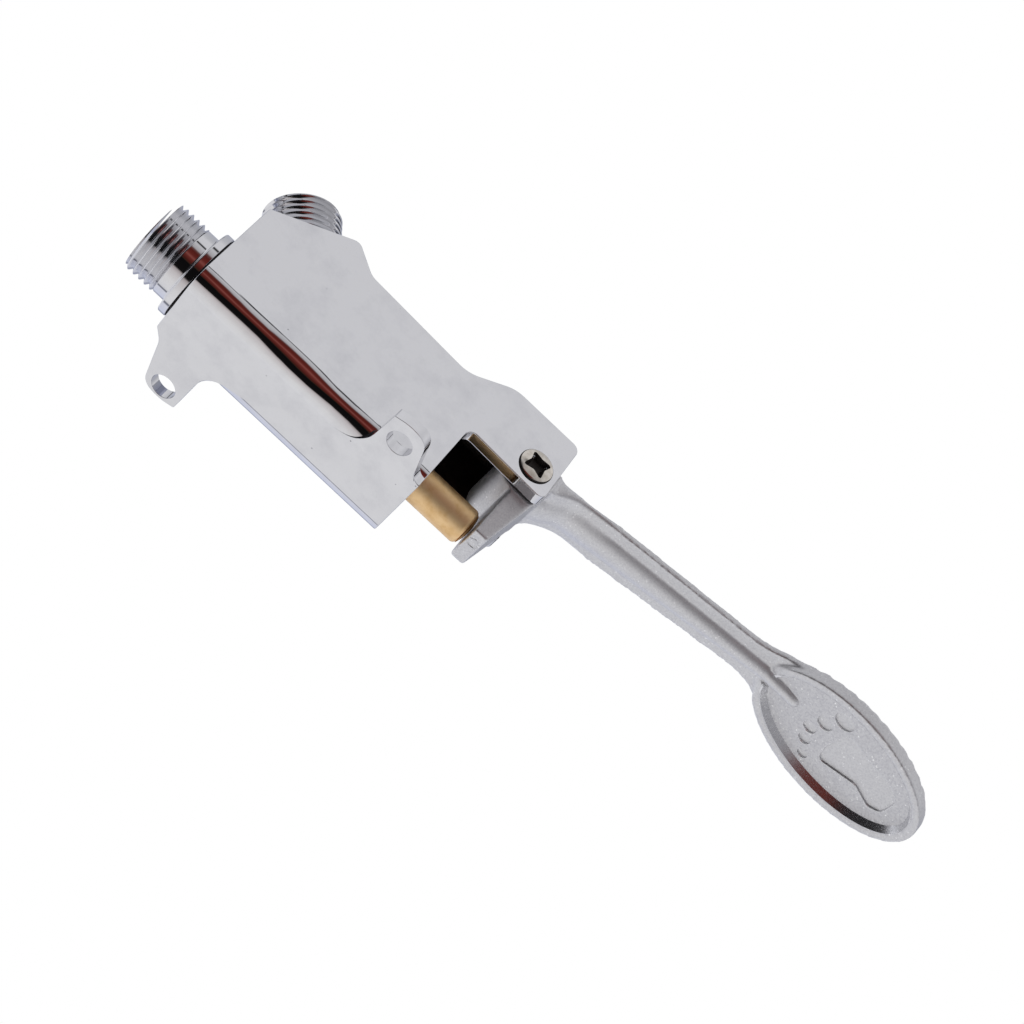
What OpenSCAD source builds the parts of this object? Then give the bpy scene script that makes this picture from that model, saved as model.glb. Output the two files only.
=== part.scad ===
// Foot pedal tap valve: a floor-mounted, self-closing water valve worked by a foot lever.
// Millimetres. +Z is up, +X runs from the inlet to the pedal, and the origin lies on the mounting face,
// midway along the block and under the water axis.

/* [Block] */
// Length of the block between its inlet face and its plunger face
block_l = 73.4; // [68:0.2:84]
// Width of the block and of the hood
body_w = 27.4; // [25:0.2:32]
// Height of the water axis over the mounting face
axis_z = 12.8; // [12.7:0.1:14]
// Radius along the two long bottom edges
bottom_r = 5.8; // [3:0.2:8]
// Height of the rear edge, where the outlet seat begins
seat_low_z = 33.7; // [31:0.1:38]
// Slope of the outlet seat, in degrees
seat_slope = 32; // [26:0.5:36]
// Length of the outlet seat along its slope
seat_l = 25.4; // [24:0.2:28]
// Height of the waist between the outlet seat and the hood
waist_z = 40.2; // [36:0.2:43]

/* [Hood] */
// Height of the hood's top
hood_z = 47.2; // [45:0.2:52]
// Length of the hood in front of the block
hood_l = 25.4; // [24:0.2:30]
// Height of the lower edge of the two cheeks
cheek_low_z = 25.8; // [23:0.2:27]
// Thickness of each cheek
cheek_t = 4; // [3:0.1:5]
// Thickness of the roof over the pedal's hub
roof_t = 3.6; // [2.5:0.1:5]

/* [Ears] */
// Thickness of the two mounting ears
ear_t = 3.4; // [2.5:0.1:5]
// Diameter of the screw holes in the ears
ear_hole_d = 7.1; // [5:0.1:8]
// Distance of each hole from the middle of the block, along X
ear_hole_x = 26.1; // [24:0.1:29]
// Distance of the rear ear's hole from the water axis, along Y
rear_hole_y = 24.6; // [20:0.1:28]
// Distance of the front ear's hole from the water axis, along Y
front_hole_y = 19.6; // [18.5:0.1:24]
// Metal beyond the rear ear's hole centre
rear_ear_tip = 4.6; // [4.4:0.1:8]
// Metal beyond the front ear's hole centre
front_ear_tip = 7.2; // [4.4:0.1:9]
// Width of an ear at its hole
ear_w = 11.4; // [9.5:0.1:14]

/* [Ports] */
// Outer diameter of the G1/2 threads on inlet and outlet
thread_d = 20.955; // [20:0.005:22]
// Length of the inlet thread
inlet_thread_l = 9.6; // [8:0.2:14]
// Length of the plain neck between the inlet thread and the collar
neck_l = 4; // [2:0.2:6]
// Length of the collar
collar_l = 2.9; // [2:0.1:5]
// Diameter of the collar
collar_d = 25.4; // [23:0.1:25.4]
// Length of the outlet spigot over its seat
outlet_l = 13.6; // [9:0.2:16]
// Distance of the outlet's axis from the rear edge, along the seat
outlet_at = 15; // [13.4:0.1:15.5]
// Bore of the inlet nipple's threaded end
inlet_bore_d = 11; // [9:0.2:12]
// Bore of the outlet spigot's mouth
outlet_bore_d = 14; // [12.5:0.2:15]
// Bore of the passage between the chamber and the outlet
passage_d = 11; // [8:0.2:11]

/* [Valve] */
// Diameter of the plunger
plunger_d = 10.2; // [9:0.1:11]
// Radius of the plunger's domed end
dome_r = 12; // [8:0.5:16]
// Length of the plunger outside the block at rest
plunger_out = 17.6; // [15:0.1:19]
// Diameter of the stem behind the plunger
stem_d = 5; // [4:0.1:5.5]
// Diameter of the hole in the valve seat
seat_hole_d = 8.6; // [8:0.1:9.2]
// Distance of the valve seat from the block's inlet face
seat_at = 17; // [16:0.2:18]
// Wire of the return spring
wire_d = 1.1; // [0.9:0.05:1.3]
// Mean diameter of the return spring
spring_d = 11.2; // [11:0.1:11.6]
// Turns of the return spring
spring_turns = 6; // [4:1:8]
// Section of the O-rings
ring_d = 1.8; // [1.5:0.1:2]

/* [Pedal] */
// Distance of the pivot in front of the block
pivot_out = 18.8; // [17:0.1:20]
// Height of the pivot over the mounting face
pivot_z = 31.8; // [31:0.1:34]
// Diameter of the pivot screw's shank
shank_d = 6; // [5:0.1:7]
// Diameter of the pivot screw's head
head_d = 9.8; // [9:0.1:12]
// Diameter of the lever's hub
hub_d = 16; // [14.5:0.1:16.4]
// Distance from the pivot to where the arm meets the pad
arm_l = 82.3; // [70:1:110]
// Rise of the arm, in degrees
arm_rise = 7.9; // [5:0.1:9]
// Width of the arm at the hub
arm_w_hub = 16.8; // [13:0.1:17.4]
// Width of the arm at the pad
arm_w_pad = 13; // [10:0.1:15]
// Thickness of the arm's flange
flange_t = 2.2; // [1.6:0.1:4]
// Depth of the rib under the arm's flange
rib_h = 2.2; // [1:0.1:3]
// Width of the rib at the hub
rib_w_hub = 9.2; // [7:0.1:11]
// Width of the rib at the pad
rib_w_pad = 4.4; // [3.6:0.1:6]
// Length of the pad
pad_l = 57.9; // [48:0.5:70]
// Width of the pad
pad_w = 34.6; // [28:0.2:42]
// Thickness of the pad at its rim
pad_t = 4.3; // [3.5:0.1:6]
// Depth of the recess in the pad's underside
recess_h = 2.1; // [1:0.1:2.3]
// Width of the rim round the recess
rim_w = 2.7; // [2:0.1:5]
// Fall of the pad against the level, in degrees
pad_fall = 7; // [3:0.5:10]
// Spacing of the tread ridges across the pad
ridge_pitch = 3.9; // [3:0.1:6]
// Height of the tread ridges
ridge_h = 0.7; // [0.3:0.1:1.2]
// Downward swing of the pedal, in degrees
swing = 12; // [8:0.5:12]

/* [Fits] */
// Radial running clearance of pieces that slide or turn
run_gap = 0.05; // [0.02:0.01:0.1]
// Radial clearance of pieces that are screwed or pressed together
seat_gap = 0.02; // [0.01:0.01:0.05]
// Side clearance of the lever between the cheeks
side_gap = 0.5; // [0.3:0.1:1]
// Clearance between the plunger and the lever's tongue
touch_gap = 0.2; // [0.1:0.05:0.5]

/* [Hidden] */
$fn = 64;

chrome = "#d6d6d9";
brass = "#d3b078";
satin = "#b5b5b8";
rubber = "#26262a";
steel = "#a9a9ad";
cut = 0.01;
// Overrun of every cut past the face that it opens
past = 1;

rear_x = -block_l / 2;
front_x = block_l / 2;
hood_x = front_x + hood_l;
pivot_x = front_x + pivot_out;
slot_w = body_w - 2 * cheek_t;
roof_z = hood_z - roof_t;

// Outlet seat and spigot
seat_top = [rear_x + seat_l * cos(seat_slope), seat_low_z + seat_l * sin(seat_slope)];
outlet_foot = [rear_x + outlet_at * cos(seat_slope), 0, seat_low_z + outlet_at * sin(seat_slope)];
spigot_root = 3;
outlet_drop = (outlet_foot[2] - axis_z) / cos(seat_slope);
mouth_depth = 13;
thread_chamfer = 1.2;
// Depth of the G1/2 thread, and the relief of that depth between the outlet thread and its seat
thread_depth = 1.162;
relief_l = 1.2;

// Valve parts along the water axis, from the inlet to the pedal
socket_d = 18;
socket_l = 8;
chamber_d = 16;
web_t = 3;
seat_x = rear_x + seat_at;
inner_d = 14.4;
nipple_end = rear_x - collar_l - neck_l - inlet_thread_l;
neck_step = 0.4;
neck_d = thread_d - 2 * neck_step;
seat_washer_t = 1;
spring_room = 6;
shoulder_x = rear_x - spring_room;
seal_t = 3;
seal_d = 11.2;
seal_lip = 1;
cup_d = 12.6;
cup_floor = 1.5;
cup_back = seat_x - seal_t - cup_floor;
washer_t = 0.8;
washer_d = 8.4;
nut_h = 3.6;
nut_af = 8;
nut_back = cup_back - washer_t - nut_h;
stem_past_nut = 0.6;
stem_back = nut_back - stem_past_nut;
clamp_gap = 0.7;
clamp_d = seat_hole_d - 2 * clamp_gap;
clamp_t = 1.5;
bush_d = 17;
bush_l = 22;
ring_t = 1.1;
ring_deep = 0.9;
ring_band = 1.3;
ring_set_back = 3.4;
bush_front = front_x - ring_set_back;
bush_back = bush_front - bush_l;
duct_d = 15;
plunger_tip = front_x + plunger_out;
// Opening travel: the tongue's face turns about the pivot and pushes the dome back
dome_arm = dome_r + pivot_out - plunger_out;
lift_spare = 0.056;
lift = (pivot_z - axis_z) * tan(swing) + dome_arm * (1 / cos(swing) - 1) + lift_spare;
stem_room = 1;
plunger_back = bush_back - lift - stem_room;
ring_at = [6, 12];
bush_ring_at = 9;
ring_room = 0.4;
groove = ring_d + ring_room;

// Lever
hub_w = slot_w - 2 * side_gap;
bush_wall = 1.5;
sleeve_d = shank_d + 2 * run_gap + 2 * bush_wall;
tongue_x = plunger_tip + touch_gap - pivot_x;
tongue_t = 4.2;
tongue_low_z = 8.6;
tongue_w = 12.8;
tip_drop = pivot_z - tongue_low_z;
tip_r = 0.8;
heel_x = 7.6;
heel_z = 2;
heel_rise = 36;
heel_lap = 0.4;
arm_top = 8.5;
arm_start = heel_x - heel_lap;
pad_top_z = arm_top + (arm_l - arm_start) * tan(arm_rise);
pad_lap = 1.5;
pad_web = pad_t - recess_h;
gate_w = 8.4;
ramp_l = 5;
tread_margin = 4;
ridge_count = floor((pad_l - 2 * tread_margin) / ridge_pitch);
ridge_steps = 6;
head_h = 0.5;
head_root = 0.3;
dome_h = 0.8;

// Points of an arc about a centre, from one angle through a sweep
function arc(c, r, from, sweep, n) =
    [for (i = [0:n]) c + r * [cos(from + sweep * i / n), sin(from + sweep * i / n)]];

function unit(v) = v / norm(v);
function turn(a) = a > 180 ? a - 360 : a < -180 ? a + 360 : a;

// Corner b between a and c, rounded to radius r
function corner(a, b, c, r, n) =
    let (u = unit(a - b), v = unit(c - b), half = acos(u * v) / 2)
    let (mid = b + unit(u + v) * r / sin(half), reach = r / tan(half))
    let (p = b + u * reach - mid, q = b + v * reach - mid)
    let (from = atan2(p[1], p[0]), sweep = turn(atan2(q[1], q[0]) - from))
    arc(mid, r, from, sweep, n);

// Outline through corners [x, y, radius], where a radius of 0 stays sharp
function rounded(pts, n = 6) =
    let (k = len(pts))
    [for (i = [0:k - 1])
        let (a = pts[(i + k - 1) % k], b = pts[i], c = pts[(i + 1) % k])
        each b[2] == 0 ? [[b[0], b[1]]] :
            corner([a[0], a[1]], [b[0], b[1]], [c[0], c[1]], b[2], n)];

function ellipse(a, b, n) = [for (i = [0:n - 1]) [a * cos(360 * i / n), b * sin(360 * i / n)]];

// Prism of an XZ outline across Y, of a YZ outline along X, and a cylinder along X on the water axis
module across(w) { rotate([90, 0, 0]) linear_extrude(w, center = true) children(); }
module along(x, l) { translate([x, 0, 0]) rotate([90, 0, 90]) linear_extrude(l) children(); }
module bar(x, l, d, d2) {
    translate([x, 0, axis_z]) rotate([0, 90, 0]) cylinder(h = l, d1 = d, d2 = is_undef(d2) ? d : d2);
}
module o_ring(x, mean_r) {
    translate([x, 0, axis_z]) rotate([0, 90, 0]) rotate_extrude() translate([mean_r, 0]) circle(d = ring_d);
}

// Side outline of block and hood
module side_outline() {
    corner_r = 2.4;
    // where the waist begins behind the seat and ends before the hood, and how far it falls between them
    waist_from = 8.2;
    waist_to = 9.5;
    waist_fall = 1.6;
    waist_foot_r = 5;
    waist_r = 10;
    brow_run = 2.4;
    brow_r = 9;
    front_draft = 0.6;
    cheek_fall = 1;
    cheek_r = 1;
    notch_r = 2.6;
    polygon(rounded([
        [rear_x, 0, 0],
        [rear_x, seat_low_z, 0],
        [seat_top[0], seat_top[1], corner_r],
        [seat_top[0] + waist_from, waist_z + 0.6 * waist_fall, waist_foot_r],
        [front_x - waist_to, waist_z - 0.4 * waist_fall, waist_r],
        [front_x + brow_run, hood_z, brow_r],
        [hood_x - front_draft, hood_z, corner_r],
        [hood_x, cheek_low_z - cheek_fall, cheek_r],
        [front_x, cheek_low_z, notch_r],
        [front_x, 0, 0]]));
}

// Ear about its hole, pointing along +Y, with one rounded and one sharp corner and fillets into the block;
// where it has a foot, that covers the block's rounded bottom edge as far as the block's end
module ear_outline(reach, tip, foot) {
    half = ear_w / 2;
    root_sink = 1;
    root = -reach + body_w / 2 - bottom_r - root_sink;
    rear_flare = 4.6;
    rear_rise = 5;
    rear_r = 6;
    front_run = 13;
    front_rise = 3;
    front_r = 8;
    // the tip's long side leans in at its rounded rear corner and falls to its sharp front corner
    tip_lean = 0.9;
    tip_fall = [0.8, 1.2];
    round_r = 4;
    crown_r = 3;
    sharp_r = 0.6;
    front_lean = [0.4, 0.6];
    foot_run = block_l / 2 - ear_hole_x;
    foot_flare = 2.5;
    foot_set_back = 0.4;
    foot_r = 3;
    foot_b = body_w / 2 - foot_set_back - reach;
    flank = foot
        ? [[-foot_run, root, 0], [-foot_run, foot_b, 0], [-half - foot_flare, foot_b, foot_r]]
        : [[-half - rear_flare, root, 0], [-half - rear_flare / 2, root + rear_rise, rear_r]];
    polygon(rounded(concat(flank, [
        [-half + tip_lean, tip - tip_fall[0], round_r],
        [tip_lean, tip, crown_r],
        [half - front_lean[0], tip - tip_fall[1], sharp_r],
        [half + front_lean[1], root + front_rise, front_r],
        [half + front_run, root, 0]])));
}

module ear(x, y, tip) {
    translate([x, y, 0]) rotate([0, 0, y > 0 ? 0 : 180])
        linear_extrude(ear_t) ear_outline(abs(y), tip, y < 0);
}

// Spigot along its own axis, from a little below the seat to its threaded end
module spigot() {
    translate(outlet_foot) rotate([0, -seat_slope, 0]) {
        translate([0, 0, -spigot_root]) cylinder(h = spigot_root + relief_l, d = thread_d - 2 * thread_depth);
        translate([0, 0, relief_l]) cylinder(h = outlet_l - relief_l - thread_chamfer, d = thread_d);
        translate([0, 0, outlet_l - thread_chamfer])
            cylinder(h = thread_chamfer, d1 = thread_d, d2 = thread_d - 2 * thread_chamfer);
    }
}

module valve_body() {
    color(chrome) difference() {
        union() {
            intersection() {
                across(body_w) side_outline();
                along(rear_x, hood_x - rear_x) polygon(rounded([
                    [-body_w / 2, 0, bottom_r],
                    [body_w / 2, 0, bottom_r],
                    [body_w / 2, hood_z + seat_l, 0],
                    [-body_w / 2, hood_z + seat_l, 0]], 8));
            }
            ear(-ear_hole_x, rear_hole_y, rear_ear_tip);
            ear(ear_hole_x, -front_hole_y, front_ear_tip);
            spigot();
        }
        // screw holes of the ears
        for (p = [[-ear_hole_x, rear_hole_y], [ear_hole_x, -front_hole_y]])
            translate([p[0], p[1], -past]) cylinder(h = ear_t + 2 * past, d = ear_hole_d);
        // socket, inlet chamber, seat hole, duct and bush bore
        bar(rear_x - past, socket_l + past, socket_d);
        bar(rear_x - past, seat_at + past, chamber_d);
        bar(seat_x - past, web_t + 2 * past, seat_hole_d);
        bar(seat_x + web_t, bush_back - seat_x - web_t + cut, duct_d);
        bar(bush_back, block_l, bush_d);
        bar(bush_front, ring_t, bush_d + 2 * ring_deep);
        // recess for the nipple's O-ring
        bar(rear_x - past, past + ring_d + 2 * seat_gap, socket_d + 2 * ring_d + 4 * seat_gap);
        // passage and mouth of the outlet
        translate(outlet_foot) rotate([0, -seat_slope, 0]) {
            translate([0, 0, -outlet_drop]) cylinder(h = outlet_drop + outlet_l + past, d = passage_d);
            translate([0, 0, outlet_l - mouth_depth]) cylinder(h = mouth_depth + past, d = outlet_bore_d);
        }
        // pocket of the hood, open to the front and below
        translate([front_x, -slot_w / 2, -past]) cube([hood_l + past, slot_w, roof_z + past]);
        // pivot hole through both cheeks
        translate([pivot_x, 0, pivot_z]) rotate([90, 0, 0])
            cylinder(h = body_w + 2 * past, d = shank_d + 2 * seat_gap, center = true);
    }
}

module inlet_nipple() {
    color(chrome) difference() {
        union() {
            bar(nipple_end, thread_chamfer, thread_d - 2 * thread_chamfer, thread_d);
            bar(nipple_end + thread_chamfer, inlet_thread_l - thread_chamfer, thread_d);
            bar(rear_x - collar_l - neck_l, neck_l, neck_d);
            bar(rear_x - collar_l, collar_l, collar_d);
            bar(rear_x - cut, socket_l, socket_d - 2 * seat_gap);
        }
        bar(nipple_end - past, rear_x + socket_l - nipple_end + 2 * past, inlet_bore_d);
        bar(shoulder_x, spring_room + socket_l + past, inner_d);
    }
}

module nipple_o_ring() {
    color(rubber) o_ring(rear_x + ring_d / 2 + seat_gap, socket_d / 2 + ring_d / 2 + seat_gap);
}

// Washer on the nipple's inner shoulder, under the spring
module spring_seat() {
    color(brass) difference() {
        bar(shoulder_x, seat_washer_t, inner_d - 4 * seat_gap);
        bar(shoulder_x - past, seat_washer_t + 2 * past, inlet_bore_d);
    }
}

// Return spring: one helical tube with closed ends, between its washer and the cup
spring_from = shoulder_x + seat_washer_t + seat_gap;
spring_l = cup_back - seat_gap - spring_from;
spring_rings = 8;
spring_sides = 6;
spring_n = spring_turns * spring_rings;
end_turns = 0.75;

// Share of the spring's length reached after t turns: flat for the end turns, even between them
function climb(t) = t < end_turns ? 0 : t > spring_turns - end_turns ? 1
    : (t - end_turns) / (spring_turns - 2 * end_turns);
// The end turns still rise by a little over the wire, so that no turn meets the next
end_rise = wire_d + 0.5;
function spring_x(t) = wire_d / 2 + min(t, end_turns) * end_rise
    + climb(t) * (spring_l - wire_d - 2 * end_turns * end_rise)
    + max(0, t - spring_turns + end_turns) * end_rise;
function spring_mid(i) = let (t = i / spring_rings)
    [spring_x(t), spring_d / 2 * cos(360 * t), spring_d / 2 * sin(360 * t)];
function spring_point(i, j) = let (t = i / spring_rings, a = 360 * j / spring_sides)
    let (r = spring_d / 2 + wire_d / 2 * cos(a))
    [spring_x(t) + wire_d / 2 * sin(a), r * cos(360 * t), r * sin(360 * t)];

// Least gap between turns, measured on the middle line from three quarters of a turn onwards
spring_gap = min([for (i = [0:spring_n]) for (k = [i + 6:min(i + 10, spring_n)])
    norm(spring_mid(i) - spring_mid(k))]) - wire_d;
echo(least_gap_between_spring_turns = spring_gap);

module return_spring() {
    points = [for (i = [0:spring_n]) for (j = [0:spring_sides - 1]) spring_point(i, j)];
    walls = [for (i = [0:spring_n - 1]) for (j = [0:spring_sides - 1])
        let (k = (j + 1) % spring_sides, a = i * spring_sides, b = a + spring_sides)
        each [[a + j, b + j, b + k], [a + j, b + k, a + k]]];
    last = spring_n * spring_sides;
    ends = [for (j = [1:spring_sides - 2]) each [[0, j, j + 1], [last, last + j + 1, last + j]]];
    color(steel) translate([spring_from, 0, axis_z]) polyhedron(points, concat(walls, ends));
}

module stem_nut() {
    color(brass) difference() {
        translate([nut_back, 0, axis_z]) rotate([0, 90, 0])
            cylinder(h = nut_h, d = nut_af / cos(30), $fn = 6);
        bar(nut_back - past, nut_h + 2 * past, stem_d + 2 * seat_gap);
    }
}

// Split spring washer between nut and cup
module lock_washer() {
    split = 1;
    color(steel) difference() {
        bar(nut_back + nut_h, washer_t, washer_d);
        bar(nut_back + nut_h - past, washer_t + 2 * past, stem_d + 2 * seat_gap);
        translate([nut_back + nut_h - past, -split / 2, axis_z]) cube([washer_t + 2 * past, split, washer_d]);
    }
}

module washer_cup() {
    color(brass) difference() {
        bar(cup_back, cup_floor + seal_t - seal_lip, cup_d);
        bar(cup_back + cup_floor, seal_t, seal_d + 2 * seat_gap);
        bar(cup_back - past, cup_floor + 2 * past, stem_d + 2 * seat_gap);
    }
}

module seal_washer() {
    color(rubber) difference() {
        bar(seat_x - seal_t, seal_t - seat_gap, seal_d);
        bar(seat_x - seal_t - past, seal_t + 2 * past, stem_d + 2 * seat_gap);
    }
}

// Plunger with its domed end, its stem, and the flange that clamps the seal from the front
module plunger() {
    dome_x = plunger_tip - dome_r;
    color(brass) union() {
        intersection() {
            bar(plunger_back, plunger_tip - plunger_back, plunger_d);
            union() {
                translate([dome_x, 0, axis_z]) sphere(r = dome_r);
                bar(plunger_back, dome_x - plunger_back, plunger_d + past);
            }
        }
        bar(stem_back, plunger_back - stem_back + past, stem_d);
        bar(seat_x, clamp_t, clamp_d);
    }
}

module guide_bush() {
    color(brass) difference() {
        bar(bush_back, bush_l, bush_d - 2 * seat_gap);
        bar(bush_back - past, bush_l + 2 * past, plunger_d + 2 * run_gap);
        for (at = ring_at)
            bar(bush_back + at - groove / 2, groove, plunger_d + 2 * ring_d + 4 * run_gap);
        difference() {
            bar(bush_back + bush_ring_at - groove / 2, groove, bush_d + past);
            bar(bush_back, bush_l, bush_d - 2 * ring_d - 4 * seat_gap);
        }
    }
}

module bush_o_ring() {
    color(rubber) o_ring(bush_back + bush_ring_at, bush_d / 2 - ring_d / 2 - seat_gap);
}

module plunger_o_rings() {
    color(rubber) for (at = ring_at)
        o_ring(bush_back + at, plunger_d / 2 + ring_d / 2 + run_gap);
}

// Sprung ring in the body's groove, with its gap at the bottom
module bush_retaining_ring() {
    gap = 5;
    color(steel) difference() {
        bar(bush_front + seat_gap, ring_t - 2 * seat_gap, bush_d + 2 * ring_deep - 2 * seat_gap);
        bar(bush_front - past, ring_t + 2 * past, bush_d - 2 * ring_band);
        translate([bush_front - past, -gap / 2, axis_z - bush_d]) cube([ring_t + 2 * past, gap, bush_d]);
    }
}

// Pan-head screw from the -Y side, with its tip in the far cheek
module pivot_screw() {
    cap_r = (head_d * head_d / 4 + dome_h * dome_h) / (2 * dome_h);
    color(steel) translate([pivot_x, -body_w / 2, pivot_z]) rotate([90, 0, 0]) {
        intersection() {
            cylinder(h = head_h + dome_h, d = head_d);
            translate([0, 0, head_h + dome_h - cap_r]) sphere(r = cap_r);
        }
        translate([0, 0, -body_w]) cylinder(h = body_w + head_root, d = shank_d);
    }
}

// Sleeve in the lever's hub that turns on the screw
module pivot_bush() {
    color(brass) translate([pivot_x, 0, pivot_z]) rotate([90, 0, 0]) difference() {
        cylinder(h = hub_w, d = sleeve_d, center = true);
        cylinder(h = hub_w + 2 * past, d = shank_d + 2 * run_gap, center = true);
    }
}

// The lever is drawn about its pivot, with the arm along +X
function top_line(x) = arm_top + (x - arm_start) * tan(arm_rise);
function pad_line(x) = pad_top_z - (x - arm_l) * tan(pad_fall);
under_r = 16;
flare_l = 6;
flare_w = 5;
flare_r = 24;
flare_at = 4;
bend_r = 6;
rib_run = 14;
// Underside of the arm, and the point where it turns down to the heel
function under_line(x) = top_line(x) - flange_t;
bend_x = (under_line(0) - heel_z + heel_x * tan(heel_rise)) / (tan(heel_rise) - tan(arm_rise));

module tongue() {
    intersection() {
        across(hub_w) polygon(rounded([
            [tongue_x, -tip_drop, tip_r],
            [tongue_x + tongue_t, -tip_drop, tip_r],
            [heel_x, heel_z, 0],
            [heel_x, arm_top, 0],
            [0, sleeve_d / 2 + bush_wall, 0],
            [tongue_x, 0, 0]]));
        along(tongue_x - past, heel_x - tongue_x + 2 * past) polygon([
            [-tongue_w / 2, -tip_drop - past],
            [tongue_w / 2, -tip_drop - past],
            [hub_w / 2, -hub_d / 2],
            [hub_w / 2, arm_top + past],
            [-hub_w / 2, arm_top + past],
            [-hub_w / 2, -hub_d / 2]]);
    }
}

// Flange of the arm: its side band crossed with its plan, which flares into the pad
module flange() {
    half_hub = arm_w_hub / 2;
    half_pad = arm_w_pad / 2;
    root_x = arm_start - past;
    end_x = arm_l + flare_l;
    neck_x = arm_l - flare_at;
    intersection() {
        across(body_w) polygon(rounded([
            [root_x, top_line(root_x), 0],
            [arm_l, pad_top_z, bend_r],
            [end_x, pad_line(end_x), 0],
            [end_x, pad_line(end_x) - pad_web, 0],
            [arm_l, pad_top_z - flange_t, bend_r],
            [bend_x, under_line(bend_x), under_r],
            [root_x, heel_z - (heel_x - root_x) * tan(heel_rise), 0]]));
        translate([0, 0, -hub_d]) linear_extrude(4 * hub_d) polygon(rounded([
            [root_x, half_hub, 0],
            [neck_x, half_pad, flare_r],
            [end_x, half_pad + flare_w, 0],
            [end_x, -half_pad - flare_w, 0],
            [neck_x, -half_pad, flare_r],
            [root_x, -half_hub, 0]]));
    }
}

// Round rib under the flange: a cone with its low line along the arm, which runs out in the pad's recess
function rib_r(w) = (w * w / 4 + rib_h * rib_h) / (2 * rib_h);
module rib() {
    r_hub = rib_r(rib_w_hub);
    r_pad = rib_r(rib_w_pad);
    rib_end = arm_l + rib_run;
    taper = (r_hub - r_pad) / (arm_l - bend_x);
    lean = atan(tan(arm_rise) - taper);
    // the heel's stretch slopes with the heel, and both stretches meet on the plane halfway between them
    mitre = (arm_rise + heel_rise) / 2;
    joint = [bend_x, 0, under_line(bend_x)]
        + rib_h / cos((heel_rise - arm_rise) / 2) * [sin(mitre), 0, -cos(mitre)];
    slant = hub_d;
    // past the arm's end the nose sinks evenly, until its low line meets the recess floor
    reach = arm_l - joint[0];
    r_nose = r_hub - taper * reach;
    sink = atan((rib_h + flange_t - pad_web) / rib_run - tan(pad_fall));
    intersection() {
        union() {
            translate([joint[0], 0, joint[2] + r_hub]) rotate([0, 90 - lean, 0])
                cylinder(h = reach / cos(lean), r1 = r_hub, r2 = r_nose);
            translate([arm_l, 0, pad_top_z - flange_t - rib_h + r_nose]) rotate([0, 90 - sink, 0])
                cylinder(h = rib_run / cos(sink), r = r_nose);
            translate(joint) rotate([0, -heel_rise, 0]) translate([-slant, 0, r_hub]) rotate([0, 90, 0])
                cylinder(h = slant + r_hub * sin(mitre), r = r_hub);
        }
        across(body_w) polygon([
            [0, 0],
            [heel_x, -rib_h],
            [rib_end, -rib_h],
            [rib_end, pad_line(rib_end) - pad_web / 2],
            [arm_l, pad_top_z - pad_web / 2],
            [arm_start, top_line(arm_start) - flange_t / 2],
            [0, top_line(0) - flange_t]]);
    }
}

// Pad in its own tilted frame: rim face at height 0, tread ridges over pad_t
module pad() {
    tread_l = ridge_count * ridge_pitch;
    tread = [for (i = [0:ridge_count * ridge_steps])
        [-tread_l / 2 + i * ridge_pitch / ridge_steps, pad_t + ridge_h * abs(sin(180 * i / ridge_steps))]];
    translate([arm_l, 0, pad_top_z - pad_t]) rotate([0, pad_fall, 0]) translate([pad_l / 2 - pad_lap, 0, 0])
        difference() {
            intersection() {
                linear_extrude(pad_t + ridge_h) polygon(ellipse(pad_l / 2, pad_w / 2, 72));
                across(pad_w + 2 * past) polygon(concat(
                    [[-pad_l, 0], [-pad_l, pad_t]], tread, [[pad_l, pad_t], [pad_l, 0]]));
            }
            translate([0, 0, -past]) linear_extrude(recess_h + past)
                polygon(ellipse(pad_l / 2 - rim_w, pad_w / 2 - rim_w, 72));
            // gap in the rim where the rib comes in, and the ramp from the flange down to the rim
            translate([-pad_l / 2 - past, -gate_w / 2, -past]) cube([pad_l / 2, gate_w, recess_h + past]);
            across(pad_w + 2 * past) polygon([
                [-pad_l / 2 - past, -past],
                [-pad_l / 2 + ramp_l, -past],
                [-pad_l / 2 + ramp_l, 0],
                [-pad_l / 2, recess_h],
                [-pad_l / 2 - past, recess_h]]);
        }
}

module pedal_lever() {
    color(satin) translate([pivot_x, 0, pivot_z]) difference() {
        union() {
            rotate([90, 0, 0]) cylinder(h = hub_w, d = hub_d, center = true);
            tongue();
            flange();
            rib();
            pad();
        }
        rotate([90, 0, 0])
            cylinder(h = hub_w + 2 * past, d = sleeve_d + 2 * seat_gap, center = true);
    }
}

valve_body();
inlet_nipple();
nipple_o_ring();
spring_seat();
return_spring();
stem_nut();
lock_washer();
washer_cup();
seal_washer();
plunger();
guide_bush();
bush_o_ring();
plunger_o_rings();
bush_retaining_ring();
pivot_screw();
pivot_bush();
pedal_lever();
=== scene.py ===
# Foot pedal tap valve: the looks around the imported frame, in metres, with sizes written in millimetres
import math

import bpy
from mathutils import Matrix, Vector, noise


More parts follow.
